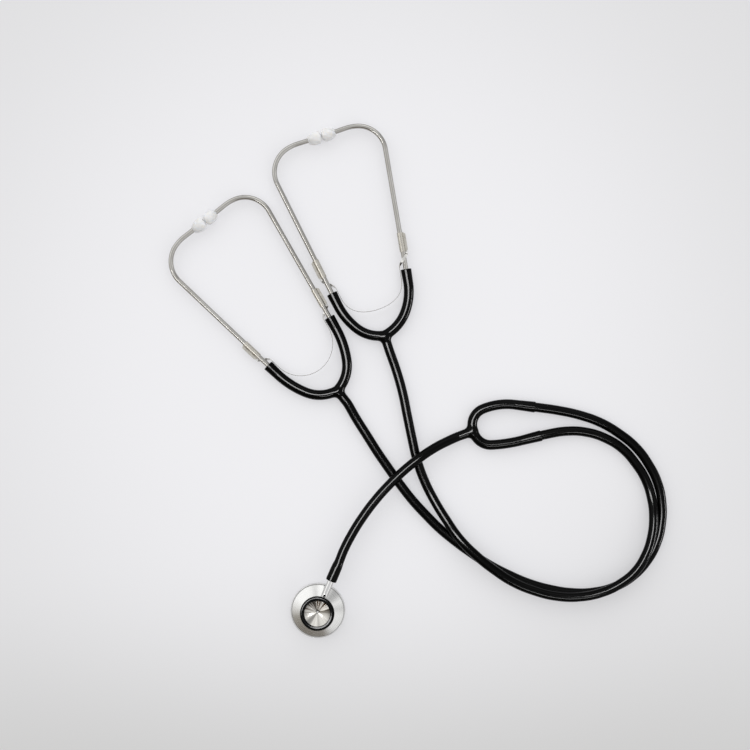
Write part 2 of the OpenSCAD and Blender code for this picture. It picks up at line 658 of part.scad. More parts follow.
// Half a leaf spring: [x, y, z, twist] from the flag, across the tube, past the mouth and to the middle
function leaf_half(set, side, over) =
    let (gap = set[7], depth = set[6], seat = tube_r + run_gap + leaf_w / 2 + 0.15,
        under = tube_r + side_gap + leaf_t / 2,
        beside = mouth_r + side_gap + leaf_t / 2,
        local = [[gap + clip_l - 3, seat, 0, 0], [gap + clip_l / 2, seat, 0, 0],
            [gap - 0.6, seat, 0, 0], [gap * 0.81, seat - 0.5, 0.65 * under, 0],
            [gap * 0.71, seat - 2.1, under + 0.1, 0], [gap * 0.6, -0.3, under + 0.2, 10],
            [gap * 0.47, -2.3, under, 28], [gap * 0.34, -3.9, 0.7 * under, 52],
            [gap * 0.18, -beside + 0.2, 0.2 * under, 78], [0, -beside, 0, 90],
            [-arm_straight * 0.7, -beside, 0, 90]],
        base = [for (p = local) [p.x * cos(splay) - p.y * sin(splay),
            mouth_half + p.x * sin(splay) + p.y * cos(splay), p.z, p[3]]],
        last = base[len(base) - 1], from = [last.x, last.y], pull = from - bow_pull * heading(splay),
        bow = [for (t = [1 : 9]) let (t = t / 9, q = pow(1 - t, 3) * from + 3 * t * pow(1 - t, 2) * pull
            + 3 * t * t * (1 - t) * [-depth, bow_flat] + t * t * t * [-depth, 0]) [q.x, q.y, 0, 90]])
    [for (p = concat(base, bow)) [p.x, side * p.y, over * p.z, over * p[3]]];

module leaf_spring(set) {
    left = leaf_half(set, 1, set[8]);
    right = leaf_half(set, -1, set[9]);
    n = len(right);
    path = concat([for (p = left) concat(p, set[8])],
        [for (i = [n - 2 : -1 : 0]) [right[i].x, right[i].y, right[i].z, abs(right[i][3]), set[9]]]);
    rings = [for (i = [0 : len(path) - 1])
        let (p = path[i], b = path[max(i - 1, 0)], c = path[min(i + 1, len(path) - 1)],
            ahead = unit([c.x - b.x, c.y - b.y, c.z - b.z]), level = unit([-ahead.y, ahead.x, 0]),
            twist = p[4] * abs(p[3]), wide = level * cos(twist) - [0, 0, 1] * sin(twist) * (i < n ? 1 : -1),
            deep = cross(ahead, wide), o = [p.x, p.y, p.z])
        [o + wide * leaf_w / 2 + deep * leaf_t / 2, o - wide * leaf_w / 2 + deep * leaf_t / 2,
            o - wide * leaf_w / 2 - deep * leaf_t / 2, o + wide * leaf_w / 2 - deep * leaf_t / 2]];
    color(steel) headset_frame(set) loft(rings);
}

module yoke_a() { yoke(headsets[0]); }
module free_arm_a() { free_arm(headsets[0]); }
module leaf_spring_a() { leaf_spring(headsets[0]); }
module left_clip_a() { clip(headsets[0], 1); }
module right_clip_a() { clip(headsets[0], -1); }
module left_ear_tube_a() { ear_tube(headsets[0], 1); }
module right_ear_tube_a() { ear_tube(headsets[0], -1); }
module left_ear_tip_a() { ear_tip(headsets[0], 1); }
module right_ear_tip_a() { ear_tip(headsets[0], -1); }
module yoke_b() { yoke(headsets[1]); }
module free_arm_b() { free_arm(headsets[1]); }
module leaf_spring_b() { leaf_spring(headsets[1]); }
module left_clip_b() { clip(headsets[1], 1); }
module right_clip_b() { clip(headsets[1], -1); }
module left_ear_tube_b() { ear_tube(headsets[1], 1); }
module right_ear_tube_b() { ear_tube(headsets[1], -1); }
module left_ear_tip_b() { ear_tip(headsets[1], 1); }
module right_ear_tip_b() { ear_tip(headsets[1], -1); }

chestpiece_head();
bell_rim();
diaphragm();
diaphragm_ring();
stem();
detent_ball();
detent_spring();
detent_screw();
chest_hose();
chest_yoke();
upper_joiner();
lower_joiner();
hose_a();
hose_b();
yoke_a();
free_arm_a();
leaf_spring_a();
left_clip_a();
right_clip_a();
left_ear_tube_a();
right_ear_tube_a();
left_ear_tip_a();
right_ear_tip_a();
yoke_b();
free_arm_b();
leaf_spring_b();
left_clip_b();
right_clip_b();
left_ear_tube_b();
right_ear_tube_b();
left_ear_tip_b();
right_ear_tip_b();
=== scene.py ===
import bpy, bmesh, json, math
import numpy as np
from mathutils import Matrix, Vector

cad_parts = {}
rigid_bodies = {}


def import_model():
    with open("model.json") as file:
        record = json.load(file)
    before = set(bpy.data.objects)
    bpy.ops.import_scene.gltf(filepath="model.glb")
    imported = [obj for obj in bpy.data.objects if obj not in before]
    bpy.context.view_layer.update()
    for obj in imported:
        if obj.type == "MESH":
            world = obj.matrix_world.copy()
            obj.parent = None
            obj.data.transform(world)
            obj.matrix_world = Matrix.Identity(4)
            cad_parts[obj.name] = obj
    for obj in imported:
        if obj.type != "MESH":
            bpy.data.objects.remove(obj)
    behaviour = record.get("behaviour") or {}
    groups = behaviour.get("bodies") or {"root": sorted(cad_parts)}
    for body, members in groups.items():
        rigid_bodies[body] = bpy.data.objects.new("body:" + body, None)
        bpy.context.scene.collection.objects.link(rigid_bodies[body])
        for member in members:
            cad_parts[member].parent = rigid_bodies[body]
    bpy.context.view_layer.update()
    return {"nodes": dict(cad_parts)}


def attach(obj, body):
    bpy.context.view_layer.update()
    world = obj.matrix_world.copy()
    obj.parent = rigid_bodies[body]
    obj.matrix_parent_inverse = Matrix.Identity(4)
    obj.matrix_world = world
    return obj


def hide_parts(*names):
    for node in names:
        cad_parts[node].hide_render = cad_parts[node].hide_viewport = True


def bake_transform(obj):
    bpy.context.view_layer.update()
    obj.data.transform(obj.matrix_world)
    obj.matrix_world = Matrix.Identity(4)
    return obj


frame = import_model()
nodes = frame["nodes"]
scene = bpy.context.scene
mm = 0.001  # sizes below are in millimetres, meshes are in metres
tiny = 1e-7  # metres within which points are one

view = {"above": (17.2, 5.1), "height": 1320, "lens": 71.75}

cam = bpy.data.objects.new("camera", bpy.data.cameras.new("camera"))
cam.location = (view["above"][0] * mm, view["above"][1] * mm, view["height"] * mm)
cam.data.lens = view["lens"]
scene.collection.objects.link(cam)
scene.camera = cam
scene.view_settings.view_transform = "Standard"


def colour(code):  # sRGB hex to the linear values that the sockets take
    parts = [int(code[i:i + 2], 16) / 255 for i in (0, 2, 4)]
    return tuple(c / 12.92 if c < 0.04045 else ((c + 0.055) / 1.055) ** 2.4 for c in parts) + (1,)


def addNode(tree, kind, inputs=(), links=(), **settings):
    node = tree.nodes.new(kind)
    for key, value in settings.items():
        setattr(node, key, value)
    for key, value in dict(inputs).items():
        node.inputs[key].default_value = value
    for key, source in dict(links).items():
        tree.links.new(source, node.inputs[key])
    return node


def newMaterial(name, **shader):
    mat = bpy.data.materials.new(name)
    mat.use_nodes = True
    tree = mat.node_tree
    bsdf = tree.nodes["Principled BSDF"]
    for key, value in shader.items():
        bsdf.inputs[key.replace("_", " ")].default_value = value
    return mat, tree, bsdf


def grain(tree, sizeMm, detail=3):  # noise whose patches are about sizeMm wide
    coords = addNode(tree, "ShaderNodeTexCoord")
    noise = addNode(tree, "ShaderNodeTexNoise", {"Scale": 1 / (sizeMm * mm), "Detail": detail},
                    {"Vector": coords.outputs["Object"]})
    return noise.outputs["Fac"]


# what most materials share: two tones, a range of roughness and a relief, each with the noise that draws it
def dress(tree, bsdf, tones, rough, relief):
    if tones:
        noise, first, second = tones
        mix = addNode(tree, "ShaderNodeMix", {6: colour(first), 7: colour(second)}, {"Factor": noise},
                      data_type="RGBA")
        tree.links.new(mix.outputs[2], bsdf.inputs["Base Color"])
    if rough:
        noise, low, high = rough
        spread = {"From Min": 0.3, "From Max": 0.7, "To Min": low, "To Max": high}  # noise seldom leaves its middle
        ranged = addNode(tree, "ShaderNodeMapRange", spread, {"Value": noise})
        tree.links.new(ranged.outputs["Result"], bsdf.inputs["Roughness"])
    if relief:
        noise, depthMm = relief
        bump = addNode(tree, "ShaderNodeBump", {"Distance": depthMm * mm, "Strength": 1.0}, {"Height": noise})
        tree.links.new(bump.outputs[0], bsdf.inputs["Normal"])


vinyl = {"handled": 34, "haze": (0.1, 0.18), "peel": 2.6, "peelDepth": 0.006}


def makeVinyl(name, first, second):  # dip-moulded black vinyl: deep black with one crisp highlight
    mat, tree, bsdf = newMaterial(name, IOR=1.53, Specular_IOR_Level=0.05)
    handled = grain(tree, vinyl["handled"], 4)  # faint haze where hands have been
    peel = grain(tree, vinyl["peel"])  # orange peel of the dipping
    dress(tree, bsdf, (handled, first, second), (handled, *vinyl["haze"]), (peel, vinyl["peelDepth"]))
    return mat


plate = {"worn": 17, "polish": 0.8, "polishSpread": (0.7, 1.5), "dents": 0.5}


# bright plate over drawn tube or strip: mirror-like, a little warm where it is worn
def makePlate(name, bright, worn, rough, depthMm=0.0):
    mat, tree, bsdf = newMaterial(name, Metallic=1.0)
    low, high = (rough * share for share in plate["polishSpread"])
    dress(tree, bsdf, (grain(tree, plate["worn"], 5), bright, worn), (grain(tree, plate["polish"], 4), low, high),
          (grain(tree, plate["dents"], 2), depthMm) if depthMm else None)
    return mat


# the last four numbers set the painted reflection of dark surroundings in the cup
toolMarks = {"feed": 0.35, "depth": 0.004, "roughSpread": (0.8, 1.2), "reflectionStreaks": 5.0, "reflectionStreakEdge": (0.475, 0.56),
             "upper": (-1, 6), "lowerShare": 0.12}


# lathe-turned metal: its fine rings draw the light into wedges; a painted reflection of dark surroundings may be added
# in streaks
def makeTurned(name, bright, dark, rough, stretch, paintedReflection=None):
    mat, tree, bsdf = newMaterial(name, Metallic=1.0, Anisotropic=stretch, Anisotropic_Rotation=0.25)
    coords = addNode(tree, "ShaderNodeTexCoord")
    axis = [-c * mm for c in chest["centre"]] + [0]
    centred = addNode(tree, "ShaderNodeVectorMath", {1: axis}, {0: coords.outputs["Object"]}, operation="ADD")
    level = addNode(tree, "ShaderNodeVectorMath", {1: (1, 1, 0)}, {0: centred.outputs[0]}, operation="MULTIPLY")
    radius = addNode(tree, "ShaderNodeVectorMath", {}, {0: level.outputs[0]}, operation="LENGTH")
    scale = 1 / (toolMarks["feed"] * mm)  # real marks are about 0.1 mm apart; drawn wider so that they show
    rings = addNode(tree, "ShaderNodeTexNoise", {"Scale": scale, "Detail": 2.0},
                    {"W": radius.outputs["Value"]}, noise_dimensions="1D").outputs["Fac"]
    tone = addNode(tree, "ShaderNodeMix", {6: colour(dark), 7: colour(bright)}, {"Factor": rings},
                   data_type="RGBA").outputs[2]
    if paintedReflection:  # painted reflection of dark surroundings: brown streaks that run out from the middle, most of them on the upper side
        part = addNode(tree, "ShaderNodeSeparateXYZ", {}, {0: level.outputs[0]}).outputs
        angle = addNode(tree, "ShaderNodeMath", {}, {0: part["Y"], 1: part["X"]}, operation="ARCTAN2")
        reflectionStreaks = addNode(tree, "ShaderNodeTexNoise", {"Scale": toolMarks["reflectionStreaks"], "Detail": 3.0},
                          {"W": angle.outputs[0]}, noise_dimensions="1D")
        low, high = (y * mm for y in toolMarks["upper"])
        upper = addNode(tree, "ShaderNodeMapRange",
                        {"From Min": low, "From Max": high, "To Min": toolMarks["lowerShare"]}, {"Value": part["Y"]})
        low, high = toolMarks["reflectionStreakEdge"]
        sharp = addNode(tree, "ShaderNodeMapRange", {"From Min": low, "From Max": high},
                        {"Value": reflectionStreaks.outputs["Fac"]})
        fac = addNode(tree, "ShaderNodeMath", {}, {0: upper.outputs[0], 1: sharp.outputs[0]}, operation="MULTIPLY")
        tone = addNode(tree, "ShaderNodeMix", {7: colour(paintedReflection)}, {"Factor": fac.outputs[0], 6: tone},
                       data_type="RGBA").outputs[2]
    tree.links.new(tone, bsdf.inputs["Base Color"])
    tangent = addNode(tree, "ShaderNodeTangent", direction_type="RADIAL", axis="Z")
    tree.links.new(tangent.outputs[0], bsdf.inputs["Tangent"])
    low, high = (rough * share for share in toolMarks["roughSpread"])
    dress(tree, bsdf, None, (rings, low, high), (rings, toolMarks["depth"]))
    return mat


folded = {"marks": 2.9, "tones": ("a8a49b", "cdcac2"), "rough": (0.22, 0.38), "dents": 0.9, "dentDepth": 0.015}


def makeSheet():  # pressed steel sheet: dull, with the marks of folding
    mat, tree, bsdf = newMaterial("pressedSteelSheet", Metallic=1.0)
    marks = grain(tree, folded["marks"], 5)
    dress(tree, bsdf, (marks, *folded["tones"]), (marks, *folded["rough"]),
          (grain(tree, folded["dents"], 4), folded["dentDepth"]))
    return mat


milk = {"patches": 4, "tones": ("fefdfb", "ffffff"), "waves": 0.8, "waveDepth": 0.008}


def makeMilky():  # soft moulded milky vinyl: light goes in and comes out again, so its edges look soft
    mat, tree, bsdf = newMaterial("milkyVinyl", Roughness=0.25, IOR=1.5, Transmission_Weight=0.15,
                                  Subsurface_Weight=0.8, Subsurface_Radius=(1.0, 0.95, 0.88), Subsurface_Scale=0.005)
    dress(tree, bsdf, (grain(tree, milk["patches"]), *milk["tones"]), None,
          (grain(tree, milk["waves"], 2), milk["waveDepth"]))
    return mat


def makeFilm():  # glass-fibre sheet of the diaphragm, with its weave just showing
    mat, tree, bsdf = newMaterial("glassFibreSheet", Roughness=0.35)
    coords = addNode(tree, "ShaderNodeTexCoord")
    threads = {"Scale": 900.0, "Color1": colour("d9d6c8"), "Color2": colour("cfccbd"), "Mortar": colour("c2bfb0"),
               "Mortar Size": 0.03}  # threads about 0.5 mm apart
    weave = addNode(tree, "ShaderNodeTexBrick", threads, {"Vector": coords.outputs["Object"]})
    tree.links.new(weave.outputs["Color"], bsdf.inputs["Base Color"])
    return mat


chest = {"centre": (-33, -202.1), "stemTurn": 66.75, "stemZ": 11.5, "stemReach": 29.4}
materials = {
    "hoseVinyl": makeVinyl("dippedBlackVinyl", "010101", "030303"),
    "rimVinyl": makeVinyl("mouldedBlackRim", "030303", "070707"),
    "tubePlate": makePlate("nickelPlate", "bebdba", "9d9a94", 0.09),
    "stemPlate": makePlate("chromePlate", "dadada", "c8c7c5", 0.07),
    "springSteel": makePlate("brightSpringSteel", "dad9d7", "c9c7c2", 0.2, 0.001),
    "turnedSkirt": makeTurned("turnedAluminium", "dededd", "c1c1bf", 0.26, 0.8),
    # the cup's last colour is a painted dark reflection, streaked on its upper side
    "turnedCup": makeTurned("turnedCup", "bcbab6", "a3a19c", 0.14, 0.7, "3a2711"),
    "sheet": makeSheet(),
    "milky": makeMilky(),
    "film": makeFilm(),
}
print("materials made:", len(materials))


def addPiece(name, mesh, material, body, replaced=(), sharpAngle=40):
    obj = bpy.data.objects.new(name, mesh)
    scene.collection.objects.link(obj)
    mesh.materials.clear()
    mesh.materials.append(materials[material])
    mesh.shade_smooth()
    mesh.set_sharp_from_angle(angle=math.radians(sharpAngle))
    if body:
        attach(obj, body)
    if replaced:
        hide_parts(*replaced)
    return obj


def skin(name, rings, matrix=Matrix(), looped=False):  # equal rings of points joined in order, open at both ends
    sides, count = len(rings[0]), len(rings)
    at = lambda i, k: (i % count) * sides + k % sides
    faces = [(at(i, k), at(i + 1, k), at(i + 1, k + 1), at(i, k + 1))
             for i in range(count if looped else count - 1) for k in range(sides)]
    mesh = bpy.data.meshes.new(name)
    mesh.from_pydata([(matrix @ Vector(p)) * mm for ring in rings for p in ring], [], faces)
    return mesh


def faceOut(mesh, fill=False):  # turns all faces outwards, with every open rim filled first if wanted
    bm = bmesh.new()
    bm.from_mesh(mesh)
    if fill:
        bmesh.ops.remove_doubles(bm, verts=bm.verts, dist=tiny)
        bmesh.ops.holes_fill(bm, edges=bm.edges)
    bmesh.ops.recalc_face_normals(bm, faces=bm.faces)
    bm.to_mesh(mesh)
    bm.free()
    return mesh


def lathe(name, profile, matrix, sides=160):  # (radius, height) pairs turned about local Z
    angles = [2 * math.pi * k / sides for k in range(sides)]
    rings = [[(r * math.cos(a), r * math.sin(a), z) for a in angles] for r, z in profile]
    looped = profile[0] == profile[-1]
    return faceOut(skin(name, rings[:-1] if looped else rings, matrix, looped))


def rounded(points, radius, steps=4):  # profile whose corners are rounded by up to radius
    out, most = [points[0]], 0.45  # of the side beside the corner
    for before, corner, after in zip(points, points[1:], points[2:]):
        a, c, b = Vector(before), Vector(corner), Vector(after)
        reach = min(radius, (a - c).length * most, (b - c).length * most)
        p, q = c + (a - c).normalized() * reach, c + (b - c).normalized() * reach
        for t in (i / steps for i in range(steps + 1)):
            out.append(tuple((1 - t) ** 2 * p + 2 * t * (1 - t) * c + t * t * q))
    return out + [points[-1]]


def tubeRings(points, radii, sides):  # rings square to the path, carried along without twist
    pts = [Vector(p) for p in points]
    rings, side = [], None
    for i, p in enumerate(pts):
        ahead = (pts[min(i + 1, len(pts) - 1)] - pts[max(i - 1, 0)]).normalized()
        side = ahead.cross(Vector((0, 0, 1))) if side is None else side
        side = (side - ahead * side.dot(ahead)).normalized()
        over = side.cross(ahead)
        angles = [2 * math.pi * k / sides for k in range(sides)]
        rings.append([p + radii[i] * (side * math.cos(a) + over * math.sin(a)) for a in angles])
    return rings


def heading(turn):
    return Vector((math.cos(math.radians(turn)), math.sin(math.radians(turn))))


def walk(start, turn, steps, every=1.5, straightEvery=12):  # points along straights and arcs, each (length, turn)
    points, here = [Vector(start)], Vector(start)
    for length, bend in steps:
        count = math.ceil(length / (every if bend else straightEvery))
        half = math.radians(bend / count / 2)
        chord = length / count * (math.sin(half) / half if bend else 1)
        for i in range(count):
            here = here + heading(turn + bend / count / 2) * chord
            turn += bend / count
            points.append(here.copy())
    return points, turn


def arcStep(p, turn, q):  # the arc from p, leaving at a heading, that ends at q
    w = q - p
    ahead, aside = w.dot(heading(turn)), w.dot(heading(turn + 90))
    bend = 2 * math.degrees(math.atan2(aside, ahead))
    return w.dot(w) / (2 * aside) * math.radians(bend), bend


def twoArcs(p, turnP, q, turnQ):  # the pair of arcs that joins p to q with both headings
    u, v, w = heading(turnP), heading(turnQ), q - p
    s, c = w.dot(u + v), 2 * (1 - u.dot(v))
    d = (-s + math.sqrt(s * s + c * w.dot(w))) / c
    middle = (p + q + d * (u - v)) / 2
    first = arcStep(p, turnP, middle)
    return [first, arcStep(middle, turnP + first[1], q)]


yokeSize = {"armRadius": 4.4, "mouthRadius": 4.75, "straight": 11, "mouthHalf": 34.3, "splay": 8.4, "fan": 81,
            "stub": 12, "web": 3.6, "z": 4.7, "tipZ": 6.0, "knuckle": 10, "past": 5}
tubeSize = {"radius": 2.15, "wall": 0.5, "inside": 10.4, "straight": 107.2, "bends": [(24.2, 82.1), (35.2, 17.1)],
            "end": 9.9}
headsets = {  # free is the side whose arm spreads, leafPass tells whether the leaf goes over or under each tube
    "a": {"at": (-49.9, 34.8), "heading": 128.1, "depth": 55, "shift": 0, "free": 1, "leafDepth": 31,
          "clipGap": 11, "leafPass": {1: -1, -1: -1}},
    "b": {"at": (11.8, 87.5), "heading": 108.1, "depth": 49.5, "shift": 1.8, "free": -1, "leafDepth": 26,
          "clipGap": 15.5, "leafPass": {1: -1, -1: 1}},
}
tubeBends = [(r * math.radians(a), -a) for r, a in tubeSize["bends"]]
tubeReach = walk((0, 0), yokeSize["splay"], [(tubeSize["straight"], 0)] + tubeBends)[0][-1].x
tilt = math.asin((yokeSize["tipZ"] - yokeSize["z"]) / (tubeReach + headsets["a"]["depth"]))


def headsetMatrix(key, side=1):  # local +X to the ear tips, +Y to the given side, origin between the mouths
    h = headsets[key]
    place = Matrix.Translation((h["at"][0], h["at"][1], yokeSize["z"] + h["depth"] * math.sin(tilt)))
    turned = Matrix.Rotation(math.radians(h["heading"]), 4, "Z") @ Matrix.Rotation(-tilt, 4, "Y")
    return place @ turned @ Matrix.Diagonal((1, side, 1, 1))


def mouthMatrix(key, side):  # local +X out along the ear tube
    mouth = Matrix.Translation((0, yokeSize["mouthHalf"], 0))
    return headsetMatrix(key, side) @ mouth @ Matrix.Rotation(math.radians(yokeSize["splay"]), 4, "Z")


def stubFace(key):
    h = headsets[key]
    return headsetMatrix(key) @ Vector((-h["depth"] - yokeSize["stub"], h["shift"], 0))


fork = {"crotch": (103.8, -44.1), "z": 4.9, "turn": 20, "fans": (111.5, -78.3),
        "mouths": ((158, -23.2), (163.3, -48.2)), "mouthTurns": (-7, 14), "armRadius": 4.35, "neckRadius": 4.25,
        "sleeveRadius": 4.85, "sleeve": 18, "socket": 9.98, "lead": 3, "stub": 12, "web": 3.4}
hose = {"radius": 4.15, "bore": 1.9, "sunk": 0.45, "lead": 2,
        "cuff": [(0, 4.5), (0.5, 4.85), (6, 4.85), (13.5, 4.7), (18.5, 4.15)]}  # (way from its end, radius)
routes = {  # from the photo, within about 1 mm of the part's own points
    "chest": [(-10.5, -149, 11.2), (-2.5, -133.5, 10.8), (7, -118.5, 11), (17.5, -104.5, 12), (29, -91.5, 13.2),
              (41.4, -79.4, 13.4), (55.2, -68.2, 13.2), (69.3, -58.9, 10.5), (82.2, -52.5, 6.6)],
    "a": [(0.5, -33, 4.2), (10, -48, 4.2), (19.5, -63, 4.2), (29.5, -77.5, 4.2), (39.5, -91.5, 4.2),
          (50.5, -105.5, 4.2), (62.5, -118.5, 4.2), (73.5, -129.5, 4.2), (85.5, -139.5, 4.2), (101, -151, 4.2),
          (117.4, -161.7, 4.2), (134.9, -170.8, 4.2), (152.9, -178.4, 4.2), (171.4, -183.6, 4.2),
          (190.4, -186.5, 4.2), (210.2, -186, 4.2), (228.9, -181, 4.2), (245, -171.1, 4.2), (257, -157.9, 4.2),
          (265.3, -142.1, 4.2), (269.3, -125, 4.2), (269.6, -107, 4.2), (265.7, -89.1, 4.2),
          (257.8, -73.1, 4.2), (246.9, -58.6, 4.2), (232.4, -46.6, 4.2), (216, -36.9, 4.2), (198, -30.4, 4.2),
          (179.1, -26.2, 4.6)],
    "b": [(36, 9, 4.2), (41.5, -10.5, 4.2), (45.5, -30, 4.2), (49.5, -49.5, 4.2), (54, -69, 4.2),
          (60.5, -87.5, 4.2), (69.5, -105.5, 5.2), (80, -122.5, 8.4), (91, -138, 12), (105.7, -152.8, 13.2),
          (121, -165, 13.1), (137.8, -175.9, 12.6), (156.3, -183.6, 12.3), (175.9, -188.4, 12.2),
          (196.1, -189, 12.5), (215.7, -185, 13), (232.1, -177.1, 13.2), (245, -166.5, 13.1),
          (254.1, -152.5, 12.2), (259.4, -137.6, 10.8), (261.7, -120.5, 8.7), (260.5, -103.4, 5.2),
          (255.5, -87.3, 4.2), (246.9, -73.2, 4.2), (235.3, -60.1, 4.2), (220.8, -50.9, 4.2),
          (204.1, -45.4, 4.2), (186, -44.3, 4.4)],
}
forkAhead = heading(fork["turn"]).to_3d()
forkCentre = Vector((*fork["crotch"], fork["z"]))
forkFace = forkCentre - forkAhead * fork["stub"]


def chestPoint(reach):
    ahead = heading(chest["stemTurn"]) * reach
    return Vector((chest["centre"][0] + ahead.x, chest["centre"][1] + ahead.y, chest["stemZ"]))


def socketPoints(side):  # where a listener's hose goes into the fork
    mouth, out = Vector((*fork["mouths"][side], fork["z"])), heading(fork["mouthTurns"][side]).to_3d()
    return [mouth + out * fork["lead"], mouth, mouth - out * fork["socket"]]


def addHose(name, node, points, radii):
    curve = bpy.data.curves.new(name, "CURVE")
    curve.dimensions = "3D"
    curve.resolution_u = 10
    spline = curve.splines.new("BEZIER")
    spline.bezier_points.add(len(points) - 1)
    for knot, p, r in zip(spline.bezier_points, points, radii):
        knot.co = Vector(p) * mm
        knot.radius = r / hose["radius"]
        knot.handle_left_type = knot.handle_right_type = "AUTO"
    obj = bpy.data.objects.new(name, curve)
    scene.collection.objects.link(obj)
    bpy.context.view_layer.update()
    line = obj.to_mesh()
    obj.to_mesh_clear()
    curve.bevel_depth = hose["radius"] * mm
    curve.bevel_resolution = 8
    curve.use_fill_caps = True
    curve.materials.append(materials["hoseVinyl"])
    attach(obj, "hoses")
    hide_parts(node)


cuffPoints = [chestPoint(chest["stemReach"] + way) for way, radius in hose["cuff"]]
chestEnd = [forkFace - forkAhead * hose["lead"], forkFace + forkAhead * hose["sunk"]]
chestRadii = [radius for way, radius in hose["cuff"]] + [hose["radius"]] * (len(routes["chest"]) + len(chestEnd))
addHose("chestHose", "chest_hose", cuffPoints + routes["chest"] + chestEnd, chestRadii)
for key, side in (("a", 0), ("b", 1)):
    face, along = stubFace(key), headsetMatrix(key).col[0].to_3d()
    points = [face + along * hose["sunk"], face - along * hose["lead"]] + routes[key] + socketPoints(side)
    addHose("listenerHose" + key.upper(), "hose_" + key, points, [hose["radius"]] * len(points))


moulding = {
    "core": 0.97, "coreSides": 24, "voxel": 0.5,  # its blank is melted from slightly thinner tubes
    "passes": 5, "pull": 0.9, "lowest": 0.05,  # then its points are drawn onto the surface, above the table
    "cut": 0.4, "near": 14, "edge": ((0.08, 0.26), (0.28, 0.38), (0.45, 0.4)), "boreDepth": 3,  # its open ends
    "stub": (2, 7), "past": 4, "flare": 0.1, "fit": 0.05,
}


def tubeDistance(points, path, radii):  # from each point to a tube of changing radius, and the way out of it
    best, away = np.full(len(points), 1e9), np.zeros((len(points), 3))
    for p, q, rp, rq in zip(path[:-1], path[1:], radii[:-1], radii[1:]):
        run = q - p
        t = np.clip((points - p) @ run / (run @ run), 0, 1)
        gap = points - (p + t[:, None] * run)
        length = np.linalg.norm(gap, axis=1)
        d = length - (rp + t * (rq - rp))
        closer = d < best
        best[closer] = d[closer]
        away[closer] = (gap / np.maximum(length, 1e-9)[:, None])[closer]
    return best, away


def settle(verts, branches, web):  # pulls points onto the branches' surface, its corners filled like a moulding's
    arrays = [(np.array([tuple(p) for p in path]), radii) for path, radii in branches]
    for _ in range(moulding["passes"]):
        (d, away), *others = [tubeDistance(verts, path, radii) for path, radii in arrays]
        for e, other in others:
            h = np.clip(0.5 + 0.5 * (e - d) / web, 0, 1)
            d = e * (1 - h) + d * h - web * h * (1 - h)
            away = other * (1 - h)[:, None] + away * h[:, None]
        away /= np.maximum(np.linalg.norm(away, axis=1), 1e-9)[:, None]
        verts = verts - away * d[:, None] * moulding["pull"]
    verts[:, 2] = np.maximum(verts[:, 2], moulding["lowest"])
    return verts


def openEnd(bm, at, out, rim, bore):  # cuts an end square, rounds its edge and sinks its bore
    at, out = Vector(at), Vector(out).normalized()
    plane = at - out * moulding["cut"]
    near = {v for v in bm.verts if (v.co / mm - at).length < moulding["near"]}
    geom = list(near) + [g for g in [*bm.edges, *bm.faces] if all(v in near for v in g.verts)]
    bmesh.ops.bisect_plane(bm, geom=geom, plane_co=plane * mm, plane_no=out, clear_outer=True, dist=tiny)
    flat = lambda e: all(abs((v.co / mm - plane).dot(out)) < 0.01 for v in e.verts)
    edge = [e for e in bm.edges if e.is_boundary and flat(e)]
    steps = [(rim - less, ahead) for less, ahead in moulding["edge"]]
    for radius, ahead in steps + [(bore, moulding["cut"]), (bore, -moulding["boreDepth"])]:
        made = bmesh.ops.extrude_edge_only(bm, edges=edge)["geom"]
        edge = [g for g in made if isinstance(g, bmesh.types.BMEdge) and g.is_boundary]
        for v in {v for e in edge for v in e.verts}:
            spoke = v.co / mm - at
            spoke = (spoke - out * spoke.dot(out)).normalized()
            v.co = (plane + out * ahead + spoke * radius) * mm


def mould(name, branches, ends, web):  # tubes melted into one body, as a dipped moulding is
    bm = bmesh.new()
    for path, radii in branches:
        thinner = [r * moulding["core"] for r in radii]
        core = faceOut(skin(name + "Core", tubeRings(path, thinner, moulding["coreSides"])), fill=True)
        bm.from_mesh(core)
        bpy.data.meshes.remove(core)
    joined = bpy.data.meshes.new(name)
    bm.to_mesh(joined)
    bm.free()
    blank = bpy.data.objects.new(name + "Blank", joined)
    scene.collection.objects.link(blank)
    melt = blank.modifiers.new("melt", "REMESH")
    melt.mode, melt.voxel_size = "VOXEL", moulding["voxel"] * mm
    mesh = bpy.data.meshes.new_from_object(blank.evaluated_get(bpy.context.evaluated_depsgraph_get()))
    bpy.data.objects.remove(blank)
    verts = np.empty(len(mesh.vertices) * 3)
    mesh.vertices.foreach_get("co", verts)
    verts = settle(verts.reshape(-1, 3) / mm, branches, web)
    mesh.vertices.foreach_set("co", (verts * mm).ravel())
    bm = bmesh.new()
    bm.from_mesh(mesh)
    for end in ends:
        openEnd(bm, *end)
    bmesh.ops.recalc_face_normals(bm, faces=bm.faces)
    bm.to_mesh(mesh)
    bm.free()
    mesh.name = name
    return mesh


def armPath(key, side):  # centre of one arm from the crotch to past its mouth, in the side's own frame
    h, size = headsets[key], yokeSize
    start = Vector((-h["depth"], side * h["shift"]))
    inner = Vector((0, size["mouthHalf"])) - heading(size["splay"]) * size["straight"]
    arcs = twoArcs(start, size["fan"], inner, size["splay"])
    points, turn = walk(start, size["fan"], arcs)
    rest = walk(points[-1], turn, [(size["straight"], 0), (size["past"], 0)])[0]
    radii = [size["armRadius"]] * len(points) + [size["mouthRadius"], size["mouthRadius"] + moulding["flare"]]
    knuckle = walk(start, size["fan"], [(size["knuckle"], arcs[0][1] * size["knuckle"] / arcs[0][0])])
    return points + rest[1:], radii, knuckle


def joinArms(halves):  # two arms end to end through the crotch, as one branch
    (firstPath, firstRadii), (secondPath, secondRadii) = halves
    return firstPath[:0:-1] + secondPath, firstRadii[:0:-1] + secondRadii


